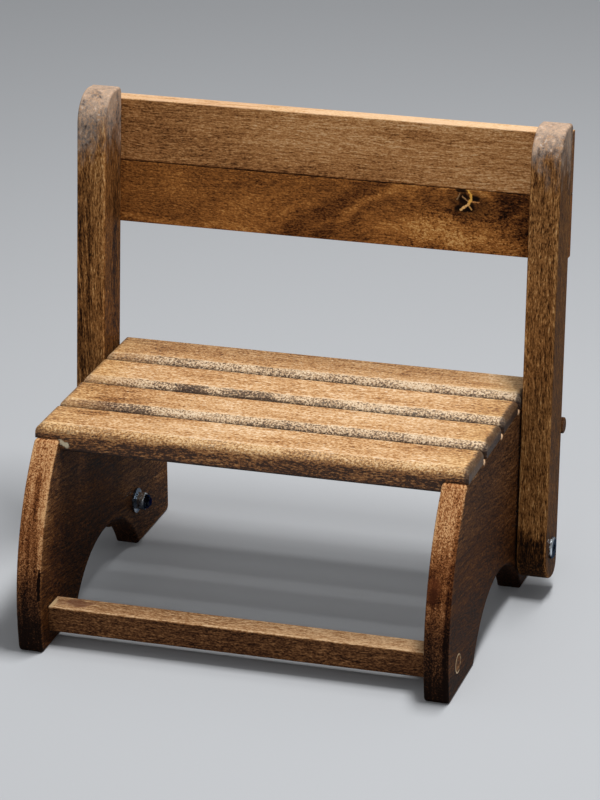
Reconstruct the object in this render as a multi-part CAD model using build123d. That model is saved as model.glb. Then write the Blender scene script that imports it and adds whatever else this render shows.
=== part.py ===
"""A child's chair that flips over into a two-step stool.

Two side panels carry four seat slats, a front stretcher and a stop dowel. Two
uprights with two boards across their rear edges make the back. The back turns
on a bolt through each side panel, and its uprights lean on the stop dowel.

Millimetres, +X to the right of someone who stands in front, +Y to the rear,
+Z up. While the pieces are drawn, Y is zero at the front edge of the seat. At
the end they are moved so that the origin is on the floor, under the middle of
the space that the stool takes.
"""
from build123d import *
import math
import os

# Seat
slat_overhang = 0.5
seat_height = 163.5
slat_depth = 43.0
slat_gap = 9.2
slat_thickness = 18.5
slat_end_thickness = 10.0
slat_count = 4
slat_front_round = 8.0
slat_end_round = 5.0
slat_rear_round = 1.5
slat_under_round = 1.2

# Side panels
panel_span = 334.0
panel_thickness = 19.0
panel_reach = 52.6
front_arc_radius = 178.6
front_arc_height = 30.7
panel_behind_pivot = 78.7
rear_top_radius = 50.0
arch_start = 22.0
arch_width = 145.0
arch_height = 43.0
foot_round = 4.5
brow_round = 4.5
panel_edge_round = 2.2

# Stretcher between the front feet
stretcher_depth = 20.5
stretcher_height = 20.3
stretcher_front = 34.0
stretcher_bottom = 11.7
stretcher_round = 1.2

# Uprights of the back, which lean to the rear
lean = 5.0
upright_thickness = 23.3
upright_width = 38.2
upright_top = 331.0
upright_bottom = 25.9
upright_front_radius = 25.0
upright_rear_top_radius = 5.5
upright_heel_radius = 12.0
upright_edge_round = 2.0
side_gap = 1.5

# Boards across the rear edges of the uprights
board_thickness = 18.0
board_height = 49.4
board_inset = 2.8
board_drop = 9.4
board_round = 1.0
board_joint = 0.15

# Pivot bolts with flat round heads, their washers and lock nuts
pivot_setback = 163.3
pivot_height = 39.0
bolt_radius = 4.0
bolt_turn_clearance = 0.08
bolt_seat_clearance = 0.05
bolt_head_radius = 8.5
bolt_head_height = 2.2
bolt_head_bevel = 0.9
bolt_socket_flats = 5.0
bolt_socket_depth = 4.0
bolt_end = 2.0
bolt_end_bevel = 0.8
washer_radius = 10.0
washer_thickness = 1.6
nut_flats = 13.0
nut_height = 6.8
nut_collar_height = 2.0
nut_collar_radius = 5.6
hex_corner_bevel = 0.7

# Stop dowel behind the uprights
stop_radius = 6.35
stop_below_seat = 35.84
stop_clearance = 0.3
stop_proud = 0.8
stop_end_round = 1.2
glue_gap = 0.05

# Screws and the wooden plugs over them
screw_radius = 2.25
screw_head_radius = 4.4
screw_head_height = 2.6
screw_point = 4.0
stretcher_screw_length = 48.0
stretcher_plug_radius = 7.5
stretcher_plug_depth = 5.0
board_screw_length = 40.0
board_screw_spacing = 26.0
board_plug_radius = 5.0
board_plug_depth = 4.5

# Blind dowels between each slat and the panel under it
pin_radius = 3.0
pin_length = 20.0
pin_depth_in_slat = 6.5
pin_spacing = 20.0
pin_bevel = 0.6

# Places that follow from the sizes above
panel_outer = panel_span / 2
half_seat = panel_outer + slat_overhang
panel_inner = panel_outer - panel_thickness
panel_height = seat_height - slat_end_thickness
rear_y = pivot_setback + panel_behind_pivot
front_y = -panel_reach
middle_y = (front_y + rear_y) / 2
upright_inner = panel_outer + side_gap
upright_outer = upright_inner + upright_thickness
upright_centre = (upright_inner + upright_outer) / 2
board_half = upright_outer - board_inset
half_width = upright_width / 2
board_top = upright_top - board_drop
nut_face = panel_inner - washer_thickness
slat_middles = [slat_depth / 2 + i * (slat_depth + slat_gap) for i in range(slat_count)]
stretcher_centre_y = -stretcher_front + stretcher_depth / 2
stretcher_centre_z = stretcher_bottom + stretcher_height / 2
sides = {"left": -1, "right": 1}


def on_back(setback, height):
    """Y and Z of a point of the leaning back, measured from the pivot."""
    a = math.radians(lean)
    y = pivot_setback + setback * math.cos(a) + height * math.sin(a)
    z = pivot_height - setback * math.sin(a) + height * math.cos(a)
    return y, z


def leaned(solid):
    """A piece drawn upright about the pivot, put at the pivot and leaned back."""
    return Pos(0, pivot_setback, pivot_height) * Rot(-lean, 0, 0) * solid


def rod(radius, start, end, y, z):
    """A round bar along X from start to end."""
    low, high = min(start, end), max(start, end)
    return Pos(low, y, z) * Rot(0, 90, 0) * extrude(Circle(radius), high - low)


def round_flat_outline(solid, radius):
    """Round the edges all round the two flat faces that look along X."""
    faces = solid.faces().filter_by(Axis.X).sort_by(Axis.X)
    return fillet(faces[0].edges() + faces[-1].edges(), radius)


def round_corner(face, corner, radius):
    """Round the corner of an outline that lies at this Y and Z."""
    at = face.vertices().sort_by_distance((0, *corner))[0]
    return fillet(at, radius)


def panel_outline():
    """The side panel's face in Y and Z: arc at the front, arch between two feet."""
    arc_centre_y = front_y + front_arc_radius
    toe_y = arc_centre_y - math.sqrt(front_arc_radius**2 - front_arc_height**2)
    brow_rise = panel_height - front_arc_height
    brow_y = arc_centre_y - math.sqrt(front_arc_radius**2 - brow_rise**2)
    arch_end = arch_start + arch_width
    arch_middle = arch_start + arch_width / 2
    corner = rear_top_radius * (1 - math.sqrt(0.5))
    with BuildSketch(Plane.YZ) as face:
        with BuildLine():
            ThreePointArc((toe_y, 0), (front_y, front_arc_height), (brow_y, panel_height))
            Line((brow_y, panel_height), (rear_y - rear_top_radius, panel_height))
            ThreePointArc(
                (rear_y - rear_top_radius, panel_height),
                (rear_y - corner, panel_height - corner),
                (rear_y, panel_height - rear_top_radius),
            )
            Line((rear_y, panel_height - rear_top_radius), (rear_y, 0))
            Line((rear_y, 0), (arch_end, 0))
            ThreePointArc((arch_end, 0), (arch_middle, arch_height), (arch_start, 0))
            Line((arch_start, 0), (toe_y, 0))
        make_face()
    shape = round_corner(face.sketch, (toe_y, 0), foot_round)
    shape = round_corner(shape, (rear_y, 0), foot_round)
    return round_corner(shape, (brow_y, panel_height), brow_round)


def side_panel(side):
    """One side panel with its bolt, dowel, screw and pin holes."""
    inner, outer = side * panel_inner, side * panel_outer
    start = min(inner, outer)
    solid = Pos(start, 0, 0) * extrude(panel_outline(), panel_thickness)
    solid = round_flat_outline(solid, panel_edge_round)
    solid -= rod(bolt_radius + bolt_seat_clearance, inner, outer, pivot_setback, pivot_height)
    stop_y, stop_z = stop_place()
    solid -= rod(stop_radius + glue_gap, inner, outer, stop_y, stop_z)
    solid -= stretcher_screw(side, glue_gap)
    solid -= stretcher_plug(side, glue_gap)
    for pin in slat_pins(side, glue_gap):
        solid -= pin
    return solid


def stop_place():
    """Y and Z of the stop dowel, just behind the rear edges of the uprights."""
    setback = half_width + stop_radius + stop_clearance
    rise = seat_height - stop_below_seat - pivot_height
    a = math.radians(lean)
    return on_back(setback, (rise + setback * math.sin(a)) / math.cos(a))


def stop_dowel():
    """One dowel through both panels that ends just proud of the uprights."""
    y, z = stop_place()
    end = upright_outer + stop_proud
    bar = rod(stop_radius, -end, end, y, z)
    return fillet(bar.edges().filter_by(GeomType.CIRCLE), stop_end_round)


def seat_slat(index):
    """A slat, thick between the panels and thinned where it lies over them."""
    middle = slat_middles[index]
    front, rear = middle - slat_depth / 2, middle + slat_depth / 2
    bottom = seat_height - slat_thickness
    with BuildSketch(Plane.YZ) as end_view:
        with BuildLine():
            Polyline((front, bottom), (rear, bottom), (rear, seat_height), (front, seat_height), close=True)
        make_face()
    section = round_corner(end_view.sketch, (front, seat_height), slat_front_round)
    section = round_corner(section, (rear, seat_height), slat_rear_round)
    section = round_corner(section, (front, bottom), slat_under_round)
    section = round_corner(section, (rear, bottom), slat_under_round)
    solid = Pos(-half_seat, 0, 0) * extrude(section, 2 * half_seat)
    notch_height = slat_thickness - slat_end_thickness
    notch_length = half_seat - panel_inner
    for side in sides.values():
        at = Pos(side * (panel_inner + notch_length / 2), middle, panel_height - notch_height / 2)
        solid -= at * Box(notch_length, slat_depth, notch_height)
    solid &= rounded_ends(middle)
    for side in sides.values():
        for pin in slat_pins(side, glue_gap, index):
            solid -= pin
    return solid


def rounded_ends(middle):
    """A block as long as a slat whose two upper end edges are rounded."""
    block = Box(2 * half_seat, slat_depth, slat_thickness)
    upper = block.edges().filter_by(Axis.Y).group_by(Axis.Z)[-1]
    return Pos(0, middle, seat_height - slat_thickness / 2) * fillet(upper, slat_end_round)


def slat_pins(side, extra=0.0, only=None):
    """Blind dowels that fix the slats to one panel, as a list of solids."""
    x = side * (panel_inner + panel_outer) / 2
    top = panel_height + pin_depth_in_slat
    pins = []
    for index in range(slat_count) if only is None else [only]:
        middle = slat_middles[index]
        for offset in (-pin_spacing / 2, pin_spacing / 2):
            low = top - pin_length - extra
            bar = extrude(Circle(pin_radius + extra), pin_length + 2 * extra)
            if not extra:
                bar = chamfer(bar.edges().filter_by(GeomType.CIRCLE), pin_bevel)
            pins.append(Pos(x, middle + offset, low) * bar)
    return pins


def front_stretcher():
    """The square bar between the front feet, with a pilot hole in each end."""
    solid = Pos(0, stretcher_centre_y, stretcher_centre_z) * Box(
        2 * panel_inner, stretcher_depth, stretcher_height
    )
    solid = fillet(solid.edges().filter_by(Axis.X), stretcher_round)
    for side in sides.values():
        solid -= stretcher_screw(side, glue_gap)
    return solid


def wood_screw(length, extra=0.0):
    """A countersunk screw along -Z with the flat of its head at zero."""
    neck = screw_radius + extra
    tip = length + extra
    with BuildPart() as screw:
        with BuildSketch(Plane.XZ):
            with BuildLine():
                Polyline(
                    (0, 0),
                    (screw_head_radius + extra, 0),
                    (neck, -screw_head_height),
                    (neck, -(tip - screw_point)),
                    (0, -tip),
                    (0, 0),
                )
            make_face()
        revolve(axis=Axis.Z)
    return screw.part


def stretcher_screw(side, extra=0.0):
    """The screw through a panel into the stretcher's end."""
    x = side * (panel_outer - stretcher_plug_depth)
    at = Pos(x, stretcher_centre_y, stretcher_centre_z) * Rot(0, side * 90, 0)
    return at * wood_screw(stretcher_screw_length, extra)


def stretcher_plug(side, extra=0.0):
    """The plug over that screw, level with the panel's outer face."""
    inner = side * (panel_outer - stretcher_plug_depth)
    radius = stretcher_plug_radius + extra
    return rod(radius, inner, side * panel_outer, stretcher_centre_y, stretcher_centre_z)


def upright_outline():
    """The upright's side face about the pivot: setback to the right, height up."""
    corners = [
        (-half_width, -upright_bottom),
        (half_width, -upright_bottom),
        (half_width, upright_top),
        (-half_width, upright_top),
    ]
    with BuildSketch(Plane.YZ) as face:
        with BuildLine():
            Polyline(*corners, close=True)
        make_face()
    shape = round_corner(face.sketch, corners[0], upright_front_radius)
    shape = round_corner(shape, corners[1], upright_heel_radius)
    shape = round_corner(shape, corners[2], upright_rear_top_radius)
    return round_corner(shape, corners[3], upright_front_radius)


def upright(side):
    """One upright of the back with its bolt hole and its screw holes."""
    start = min(side * upright_inner, side * upright_outer)
    solid = Pos(start, 0, 0) * extrude(upright_outline(), upright_thickness)
    solid = round_flat_outline(solid, upright_edge_round)
    hole = rod(bolt_radius + bolt_turn_clearance, side * upright_inner, side * upright_outer, 0, 0)
    solid = leaned(solid - hole)
    for x, height in board_screw_places():
        if x * side > 0:
            solid -= board_screw(x, height, glue_gap)
    return solid


def board_middle(row):
    """Height of a board's middle above the pivot: row 0 is the upper board."""
    return board_top - (row + 0.5) * board_height


def back_board(row):
    """One of the two boards that butt against each other behind the uprights."""
    setback = half_width + board_thickness / 2
    solid = Pos(0, setback, board_middle(row)) * Box(
        2 * board_half, board_thickness, board_height - board_joint
    )
    solid = leaned(fillet(solid.edges().filter_by(Axis.X), board_round))
    for x, height in board_screw_places():
        if abs(height - board_middle(row)) < board_height / 2:
            solid -= board_screw(x, height, glue_gap)
            solid -= board_plug(x, height, glue_gap)
    return solid


def board_screw_places():
    """X and height above the pivot of each screw in the back boards."""
    places = []
    for side in sides.values():
        for row in (0, 1):
            for offset in (-board_screw_spacing / 2, board_screw_spacing / 2):
                places.append((side * upright_centre, board_middle(row) + offset))
    return places


def board_screw(x, height, extra=0.0):
    """A screw from behind, through a board into an upright."""
    setback = half_width + board_thickness - board_plug_depth
    return leaned(Pos(x, setback, height) * Rot(-90, 0, 0) * wood_screw(board_screw_length, extra))


def board_plug(x, height, extra=0.0):
    """The plug over a board screw, level with the board's rear face."""
    setback = half_width + board_thickness
    plug = extrude(Circle(board_plug_radius + extra), board_plug_depth)
    return leaned(Pos(x, setback, height) * Rot(90, 0, 0) * plug)


def hex_prism(flats, height, bevel):
    """A hexagon along +Z whose far corners are turned off."""
    prism = extrude(RegularPolygon(flats / 2, 6, major_radius=False), height)
    crown_radius = flats / 2 / math.cos(math.radians(30))
    with BuildPart() as cap:
        with BuildSketch(Plane.XZ):
            with BuildLine():
                Polyline(
                    (0, 0),
                    (crown_radius, 0),
                    (crown_radius, height - bevel),
                    (crown_radius - 2 * bevel, height),
                    (0, height),
                    (0, 0),
                )
            make_face()
        revolve(axis=Axis.Z)
    return prism & cap.part


def along_bolt(side, x, solid):
    """A piece drawn along +Z, put on the pivot line at x with +Z outwards."""
    return Pos(side * x, pivot_setback, pivot_height) * Rot(0, side * 90, 0) * solid


def washer(side, face):
    """A washer whose inner face is at the distance face from the middle."""
    ring = Circle(washer_radius) - Circle(bolt_radius + bolt_seat_clearance)
    return along_bolt(side, face, extrude(ring, washer_thickness))


def spacer_washer(side):
    """The washer that keeps the upright clear of the panel."""
    ring = Circle(washer_radius) - Circle(bolt_radius + bolt_seat_clearance)
    return along_bolt(side, panel_outer, extrude(ring, side_gap))


def pivot_bolt(side):
    """The bolt that the back turns on: flat round head with a hexagon socket."""
    tail = nut_face - nut_height - nut_collar_height - bolt_end
    shank = extrude(Circle(bolt_radius), upright_outer - tail)
    shank = chamfer(shank.edges().group_by(Axis.Z)[0], bolt_end_bevel)
    head = extrude(Circle(bolt_head_radius), bolt_head_height)
    head = chamfer(head.edges().group_by(Axis.Z)[-1], bolt_head_bevel)
    bolt = shank + Pos(0, 0, upright_outer - tail) * head
    top = upright_outer - tail + bolt_head_height
    socket = extrude(RegularPolygon(bolt_socket_flats / 2, 6, major_radius=False), bolt_socket_depth)
    bolt -= Pos(0, 0, top - bolt_socket_depth) * socket
    return along_bolt(side, tail, bolt)


def lock_nut(side):
    """The nut inside the panel, with the round collar of a lock nut."""
    hexagon = hex_prism(nut_flats, nut_height, hex_corner_bevel)
    collar = Pos(0, 0, nut_height) * extrude(Circle(nut_collar_radius), nut_collar_height)
    nut = hexagon + collar
    nut -= extrude(Circle(bolt_radius + bolt_seat_clearance), nut_height + nut_collar_height)
    return Pos(side * nut_face, pivot_setback, pivot_height) * Rot(0, -side * 90, 0) * nut


def pieces():
    """Every node by name, with the solids that it holds."""
    nodes = {}
    for name, side in sides.items():
        nodes["side_panel_" + name] = [side_panel(side)]
        nodes["upright_" + name] = [upright(side)]
        nodes["pivot_bolt_" + name] = [pivot_bolt(side)]
        nodes["spacer_washer_" + name] = [spacer_washer(side)]
        nodes["nut_washer_" + name] = [washer(side, nut_face)]
        nodes["lock_nut_" + name] = [lock_nut(side)]
        nodes["stretcher_screw_" + name] = [stretcher_screw(side)]
        nodes["stretcher_plug_" + name] = [stretcher_plug(side)]
        nodes["slat_pins_" + name] = slat_pins(side)
    for index in range(slat_count):
        nodes["seat_slat_" + str(index + 1)] = [seat_slat(index)]
    nodes["front_stretcher"] = [front_stretcher()]
    nodes["stop_dowel"] = [stop_dowel()]
    nodes["back_board_upper"] = [back_board(0)]
    nodes["back_board_lower"] = [back_board(1)]
    places = board_screw_places()
    nodes["back_board_screws"] = [board_screw(x, height) for x, height in places]
    nodes["back_board_plugs"] = [board_plug(x, height) for x, height in places]
    return nodes


def single(solids):
    """One shape for a node: its only solid, or a group of separate solids."""
    loose = [piece for solid in solids for piece in solid.solids()]
    return loose[0] if len(loose) == 1 else Compound(children=loose)


os.makedirs("parts", exist_ok=True)
for node, solids in pieces().items():
    moved = [Pos(0, -middle_y, 0) * solid for solid in solids]
    export_step(single(moved), os.path.join("parts", node + ".step"))
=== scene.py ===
import bpy
import math
from mathutils import Matrix, Vector

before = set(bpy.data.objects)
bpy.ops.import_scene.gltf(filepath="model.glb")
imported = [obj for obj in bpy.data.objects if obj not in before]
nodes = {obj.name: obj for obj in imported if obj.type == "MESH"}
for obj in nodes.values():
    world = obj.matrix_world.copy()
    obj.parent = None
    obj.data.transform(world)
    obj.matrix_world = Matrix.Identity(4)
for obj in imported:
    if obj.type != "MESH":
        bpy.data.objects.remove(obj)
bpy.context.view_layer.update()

# Camera.
# It stands a little to the right of the stool and above it, about 2.8 m away,
# where the photograph's straight edges put it.
lens = bpy.data.cameras.new("camera")
lens.lens = 166.76
lens.sensor_width = 36.0
lens.clip_end = 30.0
camera = bpy.data.objects.new("camera", lens)
camera_place = (0.7840, -2.4961, 1.1814)
to_the_right = Vector((0.95597, 0.2934, -0.00671))
upwards = Vector((-0.10017, 0.34772, 0.93223))
backwards = Vector((0.27586, -0.89051, 0.3618))
camera_turn = Matrix((to_the_right, upwards, backwards)).transposed().to_4x4()
camera.matrix_world = Matrix.Translation(camera_place) @ camera_turn
bpy.context.scene.collection.objects.link(camera)
bpy.context.scene.camera = camera
bpy.context.scene.view_settings.view_transform = "Standard"

# Studio.
# A pale plain floor, an even soft sky, and a long soft lamp overhead that falls
# through the gaps of the seat. A weaker lamp in front fills the shadows.
floor_half = 6.0
floor_mesh = bpy.data.meshes.new("floor")
floor_corners = [
    (-floor_half, -floor_half, 0),
    (floor_half, -floor_half, 0),
    (floor_half, floor_half, 0),
    (-floor_half, floor_half, 0),
]
floor_mesh.from_pydata(floor_corners, [], [(0, 1, 2, 3)])
floor = bpy.data.objects.new("floor", floor_mesh)
bpy.context.scene.collection.objects.link(floor)
floor_paint = bpy.data.materials.new("floor_paint")
floor_paint.use_nodes = True
floor_skin = floor_paint.node_tree.nodes["Principled BSDF"]
floor_skin.inputs["Base Color"].default_value = (0.52, 0.535, 0.555, 1)
floor_skin.inputs["Roughness"].default_value = 0.8
floor_mesh.materials.append(floor_paint)

world = bpy.data.worlds.new("sky")
world.use_nodes = True
sky = world.node_tree.nodes["Background"]
sky.inputs["Color"].default_value = (0.97, 0.98, 1.0, 1)
sky.inputs["Strength"].default_value = 0.27
bpy.context.scene.world = world


def soft_lamp(name, place, aim, width, depth, watts):
    """An oblong soft lamp at a place, turned towards another."""
    light = bpy.data.lights.new(name, "AREA")
    light.shape = "RECTANGLE"
    light.size = width
    light.size_y = depth
    light.energy = watts
    lamp = bpy.data.objects.new(name, light)
    turn = (Vector(place) - Vector(aim)).to_track_quat("Z", "Y")
    lamp.matrix_world = Matrix.Translation(place) @ turn.to_matrix().to_4x4()
    bpy.context.scene.collection.objects.link(lamp)


seat_middle = (0, 0, 0.15)
soft_lamp("overhead_lamp", (0.36, 0.11, 2.05), seat_middle, 1.0, 0.20, 37.0)
soft_lamp("front_lamp", (-0.2, -2.5, 1.3), seat_middle, 1.6, 1.2, 9.0)


# Side panels.
# One board each, its grain lying along the floor, stained dark walnut. The
# curved front edge shows end grain and is worn paler at the top.
class Finish:
    """The nodes of one finish, added one after another."""

    def __init__(self, name):
        self.material = bpy.data.materials.new(name)
        self.material.use_nodes = True
        self.tree = self.material.node_tree
        self.tree.nodes.clear()
        self.skin = self.tree.nodes.new("ShaderNodeBsdfPrincipled")
        out = self.tree.nodes.new("ShaderNodeOutputMaterial")
        self.tree.links.new(self.skin.outputs["BSDF"], out.inputs["Surface"])
        self.place = self.tree.nodes.new("ShaderNodeTexCoord").outputs["Object"]

    def put(self, socket, value):
        """A number, a vector or another node's output into a socket."""
        if isinstance(value, bpy.types.NodeSocket):
            self.tree.links.new(value, socket)
        else:
            socket.default_value = value

    def math(self, way, a, b=0.0):
        """One step of arithmetic on one number or two."""
        node = self.tree.nodes.new("ShaderNodeMath")
        node.operation = way
        self.put(node.inputs[0], a)
        self.put(node.inputs[1], b)
        return node.outputs[0]

    def plus(self, a, b):
        return self.math("ADD", a, b)

    def minus(self, a, b):
        return self.math("SUBTRACT", a, b)

    def times(self, a, b):
        return self.math("MULTIPLY", a, b)

    def size(self, a):
        return self.math("ABSOLUTE", a)

    def most(self, a, b):
        return self.math("MAXIMUM", a, b)

    def least(self, *values):
        """The smallest of some numbers."""
        low = values[0]
        for value in values[1:]:
            low = self.math("MINIMUM", low, value)
        return low

    def vector(self, way, a, b=(0, 0, 0)):
        """A vector, or a number for LENGTH, DISTANCE and DOT_PRODUCT."""
        node = self.tree.nodes.new("ShaderNodeVectorMath")
        node.operation = way
        self.put(node.inputs[0], a)
        self.put(node.inputs[1], b)
        gives_number = way in ("LENGTH", "DISTANCE", "DOT_PRODUCT")
        return node.outputs[1 if gives_number else 0]

    def turned(self, at, turn):
        """Places turned about the origin."""
        node = self.tree.nodes.new("ShaderNodeMapping")
        self.put(node.inputs["Vector"], at)
        node.inputs["Rotation"].default_value = turn
        return node.outputs[0]

    def parts(self, at):
        """X, Y and Z of a vector."""
        node = self.tree.nodes.new("ShaderNodeSeparateXYZ")
        self.put(node.inputs[0], at)
        return tuple(node.outputs)

    def from_bar(self, middle):
        """How far off an axis along X that passes through (Y, Z)."""
        flat = self.vector("MULTIPLY", self.place, (0, 1, 1))
        return self.vector("DISTANCE", flat, (0, *middle))

    def noise_node(self, at, stretch, detail, roughness):
        node = self.tree.nodes.new("ShaderNodeTexNoise")
        self.put(node.inputs["Vector"], self.vector("MULTIPLY", at, stretch))
        node.inputs["Scale"].default_value = 1.0
        node.inputs["Detail"].default_value = detail
        node.inputs["Roughness"].default_value = roughness
        return node

    def noise(self, at, stretch, detail=2.0, roughness=0.5):
        """Cloudy noise about 0, mostly within 0.25, so many times a metre along each axis."""
        return self.minus(self.noise_node(at, stretch, detail, roughness).outputs["Fac"], 0.5)

    def swirl(self, at, stretch):
        """A vector of three such noises."""
        node = self.noise_node(at, stretch, 2.0, 0.5)
        return self.vector("SUBTRACT", node.outputs["Color"], (0.5, 0.5, 0.5))

    def ragged(self, value, stretch, reach, detail=3, roughness=0.5, at=None):
        """A value made uneven by noise, so that a limit set on it gets a ragged rim."""
        where = self.place if at is None else at
        noise = self.noise(where, stretch, detail, roughness)
        return self.plus(value, self.times(noise, reach))

    def between(self, value, low, high, start=0.0, end=1.0):
        """A smooth step of value from start at low to end at high."""
        node = self.tree.nodes.new("ShaderNodeMapRange")
        node.interpolation_type = "SMOOTHSTEP"
        ends = {"Value": value, "From Min": low, "From Max": high, "To Min": start, "To Max": end}
        for name, number in ends.items():
            self.put(node.inputs[name], number)
        return node.outputs[0]

    def mix(self, share, a, b, way="MIX"):
        """Colour a turning into colour b by a share."""
        node = self.tree.nodes.new("ShaderNodeMix")
        node.data_type = "RGBA"
        node.blend_type = way
        self.put(node.inputs["Factor"], share)
        for socket, value in ((node.inputs[6], a), (node.inputs[7], b)):
            self.put(socket, value if isinstance(value, bpy.types.NodeSocket) else stain(*value))
        return node.outputs[2]

    def scale_of(self, value, stops):
        """Colours laid out along a value, given as (value, colour) pairs."""
        node = self.tree.nodes.new("ShaderNodeValToRGB")
        marks = node.color_ramp.elements
        while len(marks) < len(stops):
            marks.new(0.5)
        for mark, (position, colour) in zip(marks, stops):
            mark.position = position
            mark.color = stain(*colour)
        self.put(node.inputs["Fac"], value)
        return node.outputs["Color"]

    def lift(self, amount, where=None):
        """The wood made paler, or darker by less than nothing, all over or by a mask."""
        if where is not None:
            amount = self.times(where, amount)
        self.tone = self.plus(self.tone, amount)

    def paint(self, colour, where, way="MIX"):
        """Another colour by a mask."""
        self.colour = self.mix(where, self.colour, colour, way)

    def spot(self, at, centre, radii, soft=0.5, wobble=0.6, grain=120):
        """An oval mark with a ragged rim: 1 inside, 0 outside."""
        out = self.vector("DIVIDE", self.vector("SUBTRACT", at, centre), radii)
        away = self.vector("LENGTH", out)
        away = self.ragged(away, (grain, grain, grain), wobble * 2, at=at)
        return self.between(away, 1.0 + soft / 2, 1.0 - soft / 2)

    def stroke(self, at, start, end, width, soft, wobble, grain=300):
        """A wavering mark along a line from start to end, so wide on each side."""
        push = self.swirl(at, (grain, grain, grain))
        at = self.vector("ADD", at, self.vector("MULTIPLY", push, (wobble, wobble, wobble)))
        run = Vector(end) - Vector(start)
        from_start = self.vector("SUBTRACT", at, start)
        share = self.vector("DOT_PRODUCT", from_start, tuple(run))
        share = self.times(share, 1 / run.length_squared)
        share = self.least(self.most(share, 0.0), 1.0)
        on_line = self.tree.nodes.new("ShaderNodeVectorMath")
        on_line.operation = "SCALE"
        on_line.inputs[0].default_value = tuple(run)
        self.put(on_line.inputs["Scale"], share)
        away = self.vector("DISTANCE", from_start, on_line.outputs[0])
        return self.between(away, width * (1 + soft), width * (1 - soft))


def stain(red, green, blue):
    """A colour as a screen shows it, each part from 0 to 255."""
    return tuple(((part / 255 + 0.055) / 1.055) ** 2.4 for part in (red, green, blue)) + (1.0,)


def grained(
    name, along, seed, drift=0.4, streak=0.4, fibre=0.4, speck=0.7, pore=0.25,
    tilt=0.0, wander=1.0, fine=(380, 820, 820), clouds=(5, 21, 21)
):
    """Wood with its grain along one axis and its tone, 0 dark to 1 pale, about 0.5.

    Drift, streak, fibre, speck and pore say how strong each part of the grain is,
    from wide clouds down to dark pores. Fine and clouds say how often the finest
    and the widest part change in a metre, along the grain and across it.
    """
    f = Finish(name)
    turn = {"X": (0, 0, 0), "Y": (tilt, 0, math.pi / 2), "Z": (0, math.pi / 2, 0)}[along]
    elsewhere = (seed * 0.731, seed * 0.417, seed * 0.229)
    at = f.vector("ADD", f.turned(f.place, turn), elsewhere)
    sway = f.times(f.noise(at, (6, 14, 14)), 0.03 * wander)
    shift = f.tree.nodes.new("ShaderNodeCombineXYZ")
    f.put(shift.inputs[1], sway)
    f.put(shift.inputs[2], sway)
    wavy = f.vector("ADD", at, shift.outputs[0])
    f.streaks = f.noise(wavy, (11, 0.45 * fine[1], 0.45 * fine[2]), 4, 0.6)
    f.fibres = f.noise(wavy, (110, fine[1], fine[2]), 1)
    f.specks = f.noise(at, fine, 1, 0.7)
    f.pores = f.between(f.noise(wavy, (210, 1.1 * fine[1], 1.1 * fine[2]), 1), 0.06, 0.14)
    f.tone = f.plus(f.times(f.noise(at, clouds, 3), 2 * drift), 0.5)
    f.lift(2 * streak, f.streaks)
    f.lift(2 * fibre, f.fibres)
    f.lift(2 * speck, f.specks)
    f.lift(-pore, f.pores)
    return f


def finished(f, depth=0.00035, sheen=0.02, rough=0.6):
    """The finish's colour, gloss and bump put on its shader."""
    f.put(f.skin.inputs["Base Color"], f.colour)
    f.put(f.skin.inputs["Roughness"], f.between(f.tone, 0.1, 0.9, rough - 0.1, rough + 0.12))
    f.skin.inputs["Specular IOR Level"].default_value = sheen
    bump = f.tree.nodes.new("ShaderNodeBump")
    bump.inputs["Strength"].default_value = 0.6
    bump.inputs["Distance"].default_value = depth
    height = f.plus(f.plus(f.fibres, f.specks), f.times(f.pores, -0.5))
    f.put(bump.inputs["Height"], height)
    f.put(f.skin.inputs["Normal"], bump.outputs[0])
    return f.material


def dress(node, material):
    """A CAD node with this finish in place of its own."""
    mesh = nodes[node].data
    mesh.materials.clear()
    mesh.materials.append(material)


walnut = (
    (0.04, (22, 13, 9)),
    (0.26, (61, 37, 23)),
    (0.46, (102, 67, 41)),
    (0.64, (140, 98, 62)),
    (0.82, (181, 138, 97)),
    (1.0, (218, 182, 140)),
)
arc_middle, arc_radius = (0.0313, 0.0307), 0.1786
arch_middle, arch_radius = (-0.0002, -0.0396), 0.0826
panel_top, panel_rear = 0.1535, 0.1473
panel_half, panel_middle = 0.0095, 0.1575
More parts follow.
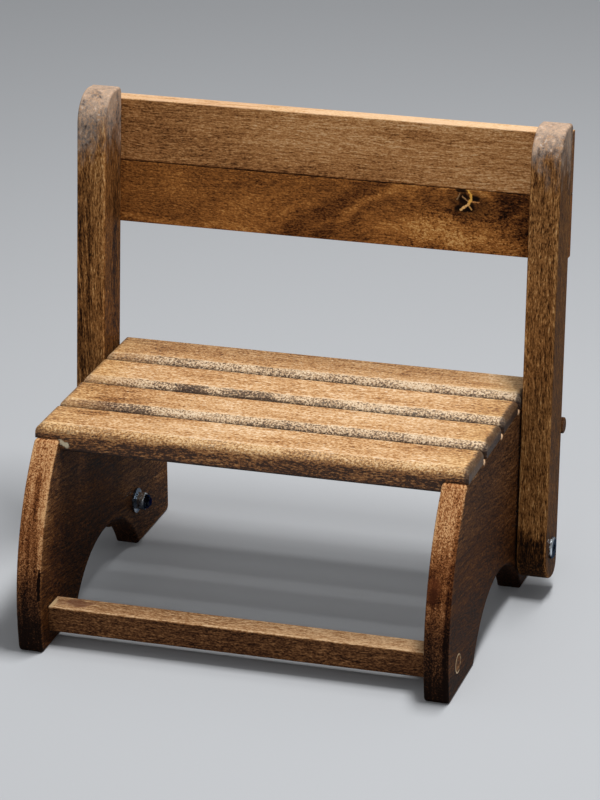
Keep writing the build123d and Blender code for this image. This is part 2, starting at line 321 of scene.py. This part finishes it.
# Stains on the front edges: where, how far they reach, and how soft, ragged,
# fine and dark or pale they are.
edge_marks = {
    "left": (
        ((-0.1485, -0.1370, 0.0920), (0.0035, 0.02, 0.0300), 0.9, 0.6, 120, 0.22),
        ((-0.1565, -0.1250, 0.1220), (0.0022, 0.02, 0.0160), 0.8, 0.6, 120, -0.25),
    ),
    "right": (
        ((0.1530, -0.1375, 0.0880), (0.0100, 0.02, 0.0130), 1.4, 1.0, 120, -0.16),
        ((0.1495, -0.1340, 0.0970), (0.0030, 0.02, 0.0050), 1.2, 0.9, 300, -0.20),
        ((0.1530, -0.1410, 0.0790), (0.0046, 0.02, 0.0030), 1.2, 0.9, 300, -0.22),
    ),
}
slat_gap_middles = (-0.0471, 0.0051, 0.0573)
chip_beside_panel = 0.1655
for side, sign, seed in (("left", -1, 1.0), ("right", 1, 2.0)):
    f = grained(
        "panel_wood_" + side, "Y", seed, drift=0.28, streak=0.30, fibre=0.30, speck=0.34,
        pore=0.22, tilt=0.16, fine=(380, 980, 980)
    )
    x, y, z = f.parts(f.place)
    from_arc = f.minus(arc_radius, f.from_bar(arc_middle))
    from_arch = f.minus(f.from_bar(arch_middle), arch_radius)
    from_top = f.minus(panel_top, z)
    from_outline = f.least(from_arc, from_arch, from_top, f.minus(panel_rear, y), z)
    from_face = f.minus(panel_half, f.size(f.minus(x, sign * panel_middle)))
    from_edge = f.ragged(f.most(from_outline, from_face), (170, 170, 170), 0.004)
    worn_edge = f.between(from_edge, 0.0032, 0.0004)
    f.lift(f.between(z, 0.05, 0.13, 0.03, 0.14), worn_edge)

    # The end grain of the front edge: dark at the foot, pale at the top.
    front_edge = f.between(from_arc, 0.0030, 0.0006)
    height = f.ragged(z, (25, 25, 25), 0.05)
    low_end = f.between(height, 0.015, 0.080, -0.38, 0.06)
    high_end = f.between(height, 0.070, 0.140, 0.0, 0.34)
    f.lift(f.plus(low_end, high_end), front_edge)
    # Painted shade on the faces, deeper low down.
    f.lift(f.between(z, 0.06, 0.12, -0.13, -0.05), f.between(from_outline, 0.002, 0.008))
    # The whole panel is darker near the floor.
    f.lift(-0.12, f.between(z, 0.040, 0.004))
    down_edge = f.noise(f.place, (480, 60, 12), 3, 0.55)
    f.lift(0.62, f.times(down_edge, front_edge))
    dots = f.between(f.noise(f.place, (700, 700, 520), 1), 0.09, 0.16)
    f.lift(-0.19, f.times(dots, front_edge))
    # Painted shade round the edges of the arch.
    f.lift(-0.30, f.between(from_arch, 0.004, 0.001))
    for centre, radii, soft, wobble, grain, amount in edge_marks[side]:
        f.lift(amount, f.spot(f.place, centre, radii, soft, wobble, grain))
    if side == "right":
        dark_side = f.spot(f.place, (0.1660, -0.140, 0.070), (0.0030, 0.06, 0.075), 0.8, 0.4)
        f.lift(-0.26, f.times(dark_side, front_edge))
    else:
        slit = f.stroke(
            f.place, (-0.1486, -0.1435, 0.067), (-0.1490, -0.1465, 0.045), 0.0011, 0.4, 0.003
        )
        f.lift(-0.8, slit)
        rear = f.between(y, -0.01, 0.07)
        f.lift(0.08, rear)
    f.colour = f.scale_of(f.tone, walnut)
    orange = f.times(front_edge, f.between(z, 0.03, 0.09))
    f.paint((172, 112, 48), f.times(orange, 0.45), "SOFT_LIGHT")

    # Painted shade makes the faces darker low down, but for the rear of the left one.
    low_face_shade = f.times(f.between(from_outline, 0.0006, 0.0030), f.between(z, 0.135, 0.085))
    if side == "left":
        low_face_shade = f.times(low_face_shade, f.minus(1.0, rear))
    else:
        knot = f.spot(
            f.place, (0.1525, -0.138, 0.0875), (0.0052, 0.03, 0.0092), 0.7, 0.35, 160
        )
        f.paint((98, 52, 29), f.times(knot, 0.65))
        heart = f.spot(
            f.place, (0.1532, -0.138, 0.0838), (0.0030, 0.03, 0.0042), 0.8, 0.5, 240
        )
        f.paint((52, 26, 15), f.times(heart, 0.60))
    f.paint((198, 180, 156), f.times(low_face_shade, 0.85), "MULTIPLY")
    for gap in slat_gap_middles:
        chip_place = (sign * chip_beside_panel, gap, panel_top)
        chip = f.spot(f.place, chip_place, (0.0022, 0.0040, 0.004), 0.5, wobble=0.3)
        f.paint((226, 186, 146), chip)
    dress("side_panel_" + side, finished(f))

# Front stretcher.
# A square bar screwed between the front feet, worn pale on top, with raw wood
# showing where its top corners are chipped.
stretcher_top = 0.032
f = grained(
    "stretcher_wood", "X", 3.0, drift=0.24, streak=0.15, fibre=0.28, speck=0.38,
    pore=0.14, fine=(480, 1020, 1020)
)
x, y, z = f.parts(f.place)
f.lift(-0.12)
top = f.between(z, stretcher_top - 0.0012, stretcher_top - 0.0001)
f.lift(f.between(x, -0.13, 0.0, 0.38, 0.46), top)
f.lift(-0.08, f.between(z, 0.026, 0.013))
corner_middle, whole_length = (0, -0.1287, stretcher_top), 1.0
front_corner = f.spot(
    f.place, corner_middle, (whole_length, 0.0016, 0.0016), 0.8, wobble=0.5, grain=400
)
f.lift(0.12, front_corner)
f.colour = f.scale_of(f.tone, walnut)
knot = f.spot(f.place, (-0.130, -0.1165, stretcher_top), (0.012, 0.0065, 0.01), 0.7, 0.8)
f.paint((112, 72, 54), f.times(knot, 0.80))
left_chip = ((-0.1466, -0.1272, stretcher_top), (-0.1470, -0.1155, stretcher_top))
right_chip = ((0.1445, -0.1283, 0.0315), (0.1475, -0.1225, stretcher_top))
f.paint((200, 168, 126), f.stroke(f.place, *left_chip, 0.0017, 0.5, 0.003))
f.paint((214, 188, 146), f.stroke(f.place, *right_chip, 0.0011, 0.5, 0.002))
dress("front_stretcher", finished(f))

# Plugs and blind pins.
# Turned from the same wood; the plugs cover the screw heads, and a pale line of
# glue shows round part of each plug of the stretcher.
stretcher_middle = (-0.11845, 0.02185)
f = grained(
    "stretcher_plug_wood", "Y", 4.0, drift=0.6, streak=0.4, fibre=0.3, speck=0.3, pore=0.25
)
rim = f.between(f.from_bar(stretcher_middle), 0.0061, 0.0069)
glued_part = f.between(f.noise(f.place, (110, 110, 110)), -0.10, 0.02)
f.colour = f.scale_of(f.tone, walnut)
f.paint((222, 196, 158), f.times(rim, glued_part))
plug_wood = finished(f)
for node in ("stretcher_plug_left", "stretcher_plug_right"):
    dress(node, plug_wood)
f = grained("pin_wood", "X", 4.5, drift=0.5, streak=0.3, speck=0.3)
f.colour = f.scale_of(f.tone, walnut)
pin_wood = finished(f)
for node in ("slat_pins_left", "slat_pins_right", "back_board_plugs"):
    dress(node, pin_wood)

# Seat slats.
# Four boards, worn to a golden tan on top. Grey dirt has settled in the open
# grain of their rounded front edges; painted shade darkens those edges, the
# gaps between them and the undersides, with a painted highlight on each crest.
golden = (
    (0.0, (58, 34, 18)),
    (0.20, (136, 90, 50)),
    (0.40, (186, 136, 82)),
    (0.56, (212, 167, 112)),
    (0.76, (233, 195, 142)),
    (1.0, (248, 222, 178)),
)
worn_golden = (
    (0.0, (60, 35, 18)),
    (0.20, (142, 91, 48)),
    (0.40, (191, 139, 85)),
    (0.56, (216, 172, 122)),
    (0.76, (238, 205, 167)),
    (1.0, (253, 236, 214)),
)
dirty_gold = (
    (0.08, (54, 34, 18)),
    (0.26, (118, 78, 42)),
    (0.42, (166, 118, 65)),
    (0.60, (208, 161, 101)),
    (0.86, (238, 208, 160)),
)
dirty_grey = (
    (0.08, (48, 42, 38)),
    (0.26, (108, 95, 84)),
    (0.42, (154, 130, 104)),
    (0.60, (200, 166, 126)),
    (0.86, (236, 214, 182)),
)
end_stain = ((0.1, (44, 30, 24)), (0.45, (112, 84, 66)), (0.8, (170, 140, 112)))
slat_pitch, slat_front, seat_top = 0.0522, -0.0947, 0.1635
front_slat = 1
# How much darker each slat is made: partly its own tone, partly painted shade that grows towards
# the rear.
slat_tone_and_shade = {1: -0.03, 2: -0.03, 3: -0.05, 4: -0.06}
slat_dirt = {1: 0.10, 2: 0.03, 3: 0.03, 4: 0.0}
# Stains on top: X and Y of the middle, half length and half width, tone.
slat_marks = {
    1: (
        ((-0.137, -0.060), (0.014, 0.0045), -0.16),
        ((0.020, -0.072), (0.060, 0.0060), -0.08),
        ((-0.020, -0.066), (0.050, 0.0090), 0.09),
    ),
    2: (
        ((-0.131, -0.031), (0.016, 0.0070), -0.20),
        ((-0.105, -0.024), (0.010, 0.0050), -0.12),
        ((0.040, -0.018), (0.080, 0.0090), 0.08),
    ),
    3: (
        ((-0.085, 0.0115), (0.011, 0.0060), -0.22),
        ((-0.030, 0.0300), (0.050, 0.0080), 0.08),
        ((0.090, 0.0200), (0.040, 0.0060), -0.07),
    ),
    4: (
        ((-0.115, 0.0880), (0.030, 0.0100), -0.12),
        ((0.070, 0.0825), (0.007, 0.0040), -0.25),
        ((0.138, 0.0800), (0.017, 0.0030), -0.20),
    ),
}
# Lengths of a slat that are paler or darker: middle, half length, tone.
paler_lengths = {
    1: ((-0.017, 0.03, 0.07), (0.076, 0.03, 0.05)),
    2: ((-0.138, 0.03, -0.06), (-0.020, 0.03, 0.03), (0.079, 0.03, 0.06)),
    3: ((-0.150, 0.02, 0.04), (0.070, 0.065, 0.13)),
    # The pale length at the right end of the rear slat is painted light, lifting the upright's
    # shade.
    4: ((-0.050, 0.04, -0.05), (0.152, 0.02, 0.12)),
}
# Lengths of a front edge with more dirt in it: middle, half length, amount.
dirtier_lengths = {
    1: (),
    2: ((-0.140, 0.024, 0.22), (-0.105, 0.012, 0.16)),
    3: ((-0.108, 0.006, 0.22), (-0.081, 0.015, 0.34), (-0.033, 0.020, 0.26), (0.030, 0.012, 0.12)),
    4: ((-0.101, 0.009, 0.26), (-0.030, 0.016, 0.14), (0.060, 0.010, 0.10)),
}
for number in (1, 2, 3, 4):
    f = grained(
        "slat_wood_" + str(number), "X", 5.0 + number, drift=0.22, streak=0.20, fibre=0.30,
        speck=0.54, pore=0.13, fine=(460, 760, 980), clouds=(13, 48, 48)
    )
    x, y, z = f.parts(f.place)
    back = f.minus(y, slat_front + (number - 1) * slat_pitch)
    drop = f.minus(seat_top, z)
    f.lift(slat_tone_and_shade[number])
    for (mark_x, mark_y), (long, wide), amount in slat_marks[number]:
        mark = f.spot(
            f.place, (mark_x, mark_y, seat_top), (long, wide, 0.01), 0.9, wobble=1.1, grain=70
        )
        f.lift(amount, mark)

    # A painted highlight on the crest where the top begins to round over, then the front edge
    # itself, which on the front slat gets painted shade as it rounds down.
    crest_highlight = f.times(f.between(back, 0.0056, 0.0074), f.between(back, 0.0118, 0.0090))
    f.lift(0.16, f.times(crest_highlight, f.between(drop, 0.0012, 0.0005)))
    nose = f.between(f.ragged(back, (90, 200, 200), 0.004), 0.0088, 0.0072)
    if number == front_slat:
        f.lift(f.between(drop, 0.0012, 0.0090, 0.0, -0.42), nose)
    for middle, half_length, amount in paler_lengths[number]:
        off = f.size(f.minus(x, middle))
        f.lift(amount, f.between(off, half_length * 1.3, half_length * 0.6))
    f.colour = f.scale_of(f.tone, golden)
    away_from_end = f.between(f.size(x), 0.160, 0.125, 0.0, 0.85)
    f.paint(f.scale_of(f.tone, worn_golden), away_from_end)

    # The dirt in the grain of the front edge, with painted shade that deepens as the edge rounds
    # down.
    dirt = f.times(f.noise(f.place, (620, 700, 700), 1, 0.7), 2.7)
    other_place = f.vector("ADD", f.place, (number, 0, 0))
    dirt_share = f.times(f.noise(other_place, (26, 60, 60), 3), 1.1)
    dirt_share = f.plus(dirt_share, slat_dirt[number])
    dirt_share = f.minus(dirt_share, f.between(x, -0.02, 0.12, 0.0, 0.10))
    for middle, half_length, amount in dirtier_lengths[number]:
        off = f.ragged(f.size(f.minus(x, middle)), (160, 260, 260), 0.02, 2)
        inside = f.between(off, half_length * 1.15, half_length * 0.7, 0.0, amount)
        dirt_share = f.plus(dirt_share, inside)
    grime_and_shade_tone = f.plus(f.minus(dirt, dirt_share), 0.60)
    # Painted shade, deeper as the edge rounds down.
    grime_and_shade_tone = f.minus(grime_and_shade_tone, f.between(drop, 0.0014, 0.0050, 0.0, 0.36))
    if number == front_slat:
        grime_and_shade = f.scale_of(grime_and_shade_tone, dirty_gold)
        f.paint(grime_and_shade, f.times(nose, f.between(drop, 0.0075, 0.0035, 0.0, 0.55)))
        # Painted shade along the ragged lower edge.
        lower_edge_shade = f.ragged(drop, (60, 300, 300), 0.012, 4, 0.7)
        f.paint((50, 29, 16), f.times(f.between(lower_edge_shade, 0.0155, 0.0190), 0.75))
        chip_ends = ((-0.1478, slat_front, 0.1520), (-0.1425, slat_front, 0.1500))
        f.paint((222, 208, 176), f.stroke(f.place, *chip_ends, 0.0020, 0.4, 0.004))
    else:
        grime_and_shade = f.scale_of(grime_and_shade_tone, dirty_grey)
        f.paint(grime_and_shade, f.times(nose, f.between(x, -0.160, -0.110, 0.30, 0.84)))
        # A painted dark line of shade where the edge drops into the gap.
        gap = f.ragged(drop, (200, 600, 600), 0.003)
        f.paint((44, 27, 18), f.times(f.between(gap, 0.0036, 0.0052), 0.9))

    # End grain, and painted shade that makes the underside darker than the rest.
    from_middle = f.ragged(f.size(x), (150, 150, 150), 0.006)
    end_grain = f.between(from_middle, 0.1618, 0.1648)
    end_tone = f.plus(f.times(f.noise(f.place, (300, 420, 420), 3, 0.7), 2.0), 0.05)
    end_share = f.times(end_grain, f.between(x, -0.1, 0.1, 0.35, 0.85))
    f.paint(f.scale_of(end_tone, end_stain), end_share)
    f.paint((92, 60, 38), f.between(drop, 0.0150, 0.0184), "MULTIPLY")
    dress("seat_slat_" + str(number), finished(f, depth=0.0004, sheen=0.3, rough=0.52))

# Stop dowel.
# One round bar of the same wood, glued through both panels behind the uprights,
# its ends worn.
f = grained("dowel_wood", "X", 9.0, drift=0.5, streak=0.4, fibre=0.3, speck=0.35, pore=0.25)
x, y, z = f.parts(f.place)
f.lift(0.10, f.between(f.size(x), 0.1905, 0.1925))
f.lift(-0.16)
f.colour = f.scale_of(f.tone, walnut)
dress("stop_dowel", finished(f))

# Uprights.
# Two straight boards that lean back 5 degrees, streaked and dark with open
# pores, their rounded tops worn to a pinkish grey by hands.
lean = math.radians(5.0)
pivot = (0.0, 0.0686, 0.0390)
upright_half_depth, upright_half, upright_middle = 0.0191, 0.01165, 0.18015
upright_top, upright_foot, round_radius = 0.331, -0.0259, 0.025
umber = (
    (0.06, (26, 16, 10)),
    (0.28, (70, 43, 22)),
    (0.48, (113, 74, 39)),
    (0.66, (150, 103, 58)),
    (0.84, (188, 140, 86)),
    (1.0, (218, 176, 124)),
)
handled = (
    (0.10, (70, 62, 58)),
    (0.30, (116, 110, 106)),
    (0.48, (148, 136, 126)),
    (0.64, (176, 140, 110)),
    (0.80, (190, 174, 160)),
    (1.0, (218, 208, 198)),
)
worn_from = {"left": (0.276, 0.312), "right": (0.290, 0.322)}


def leaning_place(f):
    """Places seen from the pivot in the leaning back: across, setback and height."""
    return f.turned(f.vector("SUBTRACT", f.place, pivot), (lean, 0, 0))


for side, sign, seed in (("left", -1, 10.0), ("right", 1, 11.0)):
    f = grained(
        "upright_wood_" + side, "Z", seed, drift=0.24, streak=0.30, fibre=0.42, speck=0.34,
        pore=0.24, wander=0.5, fine=(480, 1180, 1180)
    )
    own = leaning_place(f)
    x, setback, height = f.parts(own)
    off_middle = f.size(f.minus(x, sign * upright_middle))
    f.lift(0.07)
    # Painted shade on the side faces.
    f.lift(-0.12, f.between(off_middle, 0.0105, 0.0116))

    # Worn corners, along the straight sides and round both ends.
    inward = f.most(f.minus(round_radius - upright_half_depth, setback), 0.0)
    past_top = f.minus(height, upright_top - round_radius)
    past_foot = f.minus(upright_foot + round_radius, height)
    corners = []
    for rise in (past_top, past_foot):
        square = f.plus(f.times(inward, inward), f.math("POWER", f.most(rise, 0.0), 2.0))
        corners.append(f.minus(round_radius, f.math("SQRT", square)))
    from_outline = f.least(*corners, f.minus(upright_half_depth, setback))
    from_edge = f.most(from_outline, f.minus(upright_half, off_middle))
    f.lift(0.15, f.between(f.ragged(from_edge, (120, 120, 60), 0.005), 0.0034, 0.0006))
    if side == "left":
        band = f.times(f.between(x, -0.1765, -0.1830), f.between(height, 0.30, 0.25))
        f.lift(f.plus(f.times(f.streaks, 0.8), -0.10), band)
        dark_inside = f.spot(own, (-0.1685, 0.004, 0.205), (0.01, 0.004, 0.05), 0.9, wobble=1.0)
        f.lift(-0.22, dark_inside)
    # A painted shadow across the foot, darkest on the front.
    foot_shadow = f.between(f.ragged(height, (90, 90, 40), 0.05), 0.018, 0.008)
    on_front = f.between(off_middle, 0.0112, 0.0098, 0.3, 1.0)
    f.lift(-0.42, f.times(foot_shadow, on_front))
    f.colour = f.scale_of(f.tone, umber)

    # The tops, worn by hands.
    high = f.ragged(height, (60, 60, 25), 0.11, 4, 0.6)
    worn_top = f.between(high, *worn_from[side])
    touch = f.plus(f.times(f.noise(f.place, (300, 300, 210), 4, 0.7), 2.3), 0.50)
    faded = f.scale_of(touch, handled)
    faded = f.mix(f.between(high, 0.312, 0.328, 0.0, 0.45), faded, (222, 192, 166))
    f.paint(faded, f.times(worn_top, 0.82))
    dress("upright_" + side, finished(f))

# Back boards.
# Two boards screwed to the uprights from behind. The upper one is plain and
# fine; the lower one is redder, with a knot, a star-shaped crack and a figure
# that swirls round it.
board_front, board_top, seam_height = 0.0191, 0.3216, 0.2722
seam_chip, through = 0.1195, 0.02
upper_stain = (
    (0.06, (48, 30, 19)),
    (0.28, (110, 71, 40)),
    (0.48, (153, 105, 62)),
    (0.66, (183, 133, 83)),
    (0.84, (206, 162, 114)),
    (1.0, (222, 190, 148)),
)
f = grained(
    "back_board_upper_wood", "X", 12.0, drift=0.32, streak=0.25, fibre=0.36, speck=0.42,
    pore=0.16, fine=(520, 1120, 1120)
)
own = leaning_place(f)
x, setback, height = f.parts(own)
f.lift(f.between(x, -0.15, 0.15, 0.06, 0.15))
f.lift(-0.30, f.between(f.size(x), 0.1876, 0.1888))
# The top edge is paler, partly worn and partly a painted highlight.
f.lift(0.26, f.between(height, board_top - 0.0013, board_top - 0.0002))
dark_streak = f.spot(own, (0.081, board_front, 0.3105), (0.045, through, 0.004), 0.9, 0.8)
f.lift(-0.14, dark_streak)
dull_patch = f.spot(own, (-0.150, board_front, 0.292), (0.03, through, 0.022), 1.0, 0.8)
f.lift(-0.08, dull_patch)
off_chip = f.size(f.minus(x, seam_chip))
seam_shade = f.between(off_chip, 0.0125, 0.0155, -0.04, -0.18)
f.lift(seam_shade, f.between(height, seam_height + 0.0018, seam_height + 0.0004))
f.colour = f.scale_of(f.tone, upper_stain)
# Wear and a painted highlight on the top edge.
top_edge = f.between(height, board_top - 0.0013, board_top - 0.0004)
rubbed_and_lit = f.between(f.noise(own, (30, 200, 200), 3), -0.16, 0.10, 0.12, 0.62)
f.paint((222, 184, 148), f.times(top_edge, rubbed_and_lit))
dress("back_board_upper", finished(f))

lower_stain = (
    (0.04, (24, 13, 8)),
    (0.26, (74, 41, 20)),
    (0.46, (122, 76, 37)),
    (0.64, (158, 101, 49)),
    (0.82, (192, 134, 72)),
    (1.0, (222, 176, 112)),
)
# Bands of the figure on the face: X and height of both ends, half width, tone.
figure_bands = (
    ((0.043, 0.2720), (-0.028, 0.2265), 0.0062, -0.16),
    ((0.056, 0.2560), (-0.004, 0.2270), 0.0042, -0.15),
    ((0.064, 0.2680), (0.012, 0.2400), 0.0040, 0.15),
    ((0.030, 0.2280), (-0.045, 0.2240), 0.0045, -0.12),
    ((0.098, 0.2500), (0.117, 0.2240), 0.0040, -0.14),
    ((0.145, 0.2680), (0.137, 0.2560), 0.0065, -0.24),
    ((0.158, 0.2700), (0.162, 0.2240), 0.0080, -0.17),
    ((-0.165, 0.2265), (-0.060, 0.2240), 0.0030, 0.12),
    ((0.088, 0.2700), (0.128, 0.2695), 0.0030, 0.20),
    ((0.020, 0.2600), (-0.030, 0.2400), 0.0030, 0.06),
    ((0.070, 0.2660), (0.030, 0.2400), 0.0035, 0.08),
    ((-0.060, 0.2650), (-0.120, 0.2330), 0.0030, -0.06),
    ((-0.020, 0.2650), (-0.085, 0.2330), 0.0040, 0.06),
)
# Pale patches: X and height of the middle, both reaches, soft, wobble, grain, tone.
pale_patches = (
    ((0.0930, 0.2385), (0.040, 0.0105), 0.9, 0.5, 60, 0.26),
    ((0.1300, 0.2290), (0.030, 0.0070), 0.9, 0.5, 60, 0.16),
    ((-0.1245, 0.2555), (0.010, 0.0080), 1.0, 0.9, 120, 0.09),
)
# Painted shade in the hollows round the crack: X and height of the middle, both reaches.
shaded_hollows = (
    ((0.1080, 0.2645), (0.0040, 0.0050)),
    ((0.1170, 0.2655), (0.0050, 0.0026)),
    ((0.1075, 0.2572), (0.0058, 0.0030)),
    ((0.1140, 0.2585), (0.0034, 0.0034)),
    ((0.1060, 0.2710), (0.0036, 0.0014)),
)
# Raw wood in the arms of the crack: both ends, half width, strength, colour.
crack_arms = (
    ((0.1053, 0.2684), (0.1031, 0.2637), 0.00045, 0.45, (186, 152, 112)),
    ((0.1071, 0.2666), (0.1120, 0.2628), 0.00050, 0.70, (196, 150, 100)),
    ((0.1124, 0.2631), (0.1205, 0.2628), 0.00050, 0.80, (204, 142, 84)),
    ((0.1117, 0.2608), (0.1147, 0.2568), 0.00055, 0.85, (214, 160, 92)),
    ((0.1118, 0.2713), (0.1140, 0.2679), 0.00075, 1.0, (236, 178, 84)),
    ((0.1140, 0.2679), (0.1141, 0.2643), 0.00095, 1.0, (238, 176, 78)),
    ((0.1141, 0.2643), (0.1122, 0.2608), 0.00105, 1.0, (240, 184, 92)),
    ((0.1122, 0.2608), (0.1063, 0.2561), 0.00090, 1.0, (240, 188, 120)),
)


def on_face(point):
    """X and height as a point of the boards' front face."""
    return (point[0], board_front, point[1])


def through_board(reach):
    """Reaches along X and height, as deep as needed to show on the face."""
    return (reach[0], through, reach[1])


f = grained(
    "back_board_lower_wood", "X", 13.0, drift=0.20, streak=0.15, fibre=0.22, speck=0.40,
    pore=0.13, wander=2.2, fine=(520, 1000, 1000)
)
own = leaning_place(f)
x, setback, height = f.parts(own)
bend = f.vector("MULTIPLY", f.swirl(own, (16, 16, 30)), (0.05, 0.0, 0.03))
bent = f.vector("ADD", own, bend)
from_knot = f.vector("SUBTRACT", bent, on_face((0.1110, 0.2625)))
rings = f.vector("LENGTH", f.vector("MULTIPLY", from_knot, (0.62, 0.5, 1.5)))
ring_lines = f.math("SINE", f.times(rings, 560.0))
f.lift(0.055, f.times(ring_lines, f.between(rings, 0.085, 0.012)))
for start, end, width, amount in figure_bands:
    f.lift(amount, f.stroke(bent, on_face(start), on_face(end), width, 0.75, 0.004, 110))
grains = f.noise(own, (360, 360, 420), 2, 0.7)
sprinkled = f.times(f.between(x, 0.045, 0.080), f.between(height, 0.262, 0.250, 0.2, 1.0))
f.lift(f.minus(f.times(grains, 1.6), f.between(grains, 0.05, 0.16, 0.0, 0.34)), sprinkled)
f.lift(0.03)
for middle, reach, soft, wobble, grain, amount in pale_patches:
    patch = f.spot(own, on_face(middle), through_board(reach), soft, wobble, grain)
    f.lift(amount, patch)
off_chip = f.size(f.minus(x, seam_chip))
seam_shade = f.between(off_chip, 0.0120, 0.0150, -0.04, -0.34)
f.lift(seam_shade, f.between(height, seam_height - 0.0008, seam_height))
f.colour = f.scale_of(f.tone, lower_stain)
surround = f.spot(own, on_face((0.1130, 0.2600)), through_board((0.0150, 0.0095)), 1.0, 0.8)
f.paint((58, 35, 18), f.times(surround, 0.60))
# Painted shade in the hollows round the crack.
for middle, reach in shaded_hollows:
    hollow_shade = f.spot(own, on_face(middle), through_board(reach), 0.6, wobble=0.7, grain=260)
    f.paint((14, 10, 8), f.times(hollow_shade, 0.93))
for start, end, width, share, colour in crack_arms:
    arm = f.stroke(own, on_face(start), on_face(end), width, 0.45, 0.0016, 620)
    f.paint(colour, f.times(arm, share))
dress("back_board_lower", finished(f))

# Bolts, washers, nuts and screws.
# Zinc-plated steel. Each bolt goes through upright, thin washer and panel, and
# is held inside by a washer and a lock nut. The screws sit under the plugs.
head_start, washer_face, nut_face = 0.1918, 0.1464, 0.1394
axis_y, axis_z = pivot[1], pivot[2]
zinc_tones = ((0.15, (84, 90, 100)), (0.5, (136, 144, 154)), (0.85, (200, 206, 213)))
zinc = Finish("zinc_steel")
zinc.skin.inputs["Metallic"].default_value = 1.0
zinc.skin.inputs["Specular Tint"].default_value = (0.3, 0.33, 0.37, 1)
cloud = zinc.plus(zinc.times(zinc.noise(zinc.place, (140, 140, 140), 1), 1.4), 0.5)
zinc.colour = zinc.scale_of(cloud, zinc_tones)
x, y, z = zinc.parts(zinc.place)
outward = zinc.size(x)
from_axis = zinc.from_bar((axis_y, axis_z))

# The head: painted dark and bluish as a reflection, with a painted highlight along its upper rim
# and a darker socket.
head = zinc.between(outward, head_start, head_start + 0.0004)
inside_rim = zinc.between(from_axis, 0.0074, 0.0068)
up_and_front = zinc.minus(z, y)
rim_level = axis_z - axis_y
upper_rim_highlight = zinc.between(up_and_front, rim_level + 0.002, rim_level + 0.007)
zinc.paint((44, 52, 68), zinc.times(head, 0.88))
zinc.paint((214, 222, 228), zinc.times(head, upper_rim_highlight))
zinc.paint((34, 44, 62), zinc.times(zinc.times(head, inside_rim), 0.92))
socket = zinc.times(zinc.between(from_axis, 0.0036, 0.0030), zinc.between(outward, 0.185, 0.187))
zinc.paint((14, 16, 22), zinc.times(socket, 0.9))

# The lock nut: a dark collar, and a painted highlight on its upper side.
collar = zinc.between(outward, nut_face + 0.0006, nut_face)
collar = zinc.times(collar, zinc.between(outward, 0.120, 0.125))
zinc.paint((30, 36, 52), zinc.times(collar, 0.9))
nut_top_highlight = zinc.between(outward, nut_face, nut_face + 0.0006)
nut_top_highlight = zinc.times(nut_top_highlight, zinc.between(outward, washer_face, washer_face - 0.0004))
nut_top_highlight = zinc.times(nut_top_highlight, zinc.between(z, axis_z + 0.0015, axis_z + 0.0045))
zinc.paint((236, 242, 242), nut_top_highlight)
zinc.put(zinc.skin.inputs["Base Color"], zinc.colour)
scuffs = zinc.noise(zinc.place, (700, 700, 700))
zinc.put(zinc.skin.inputs["Roughness"], zinc.between(scuffs, -0.2, 0.2, 0.16, 0.32))
relief = zinc.tree.nodes.new("ShaderNodeBump")
relief.inputs["Strength"].default_value = 0.1
relief.inputs["Distance"].default_value = 0.00008
zinc.put(relief.inputs["Height"], scuffs)
zinc.put(zinc.skin.inputs["Normal"], relief.outputs[0])
for side in ("left", "right"):
    for node in ("pivot_bolt_", "spacer_washer_", "nut_washer_", "lock_nut_", "stretcher_screw_"):
        dress(node + side, zinc.material)
dress("back_board_screws", zinc.material)
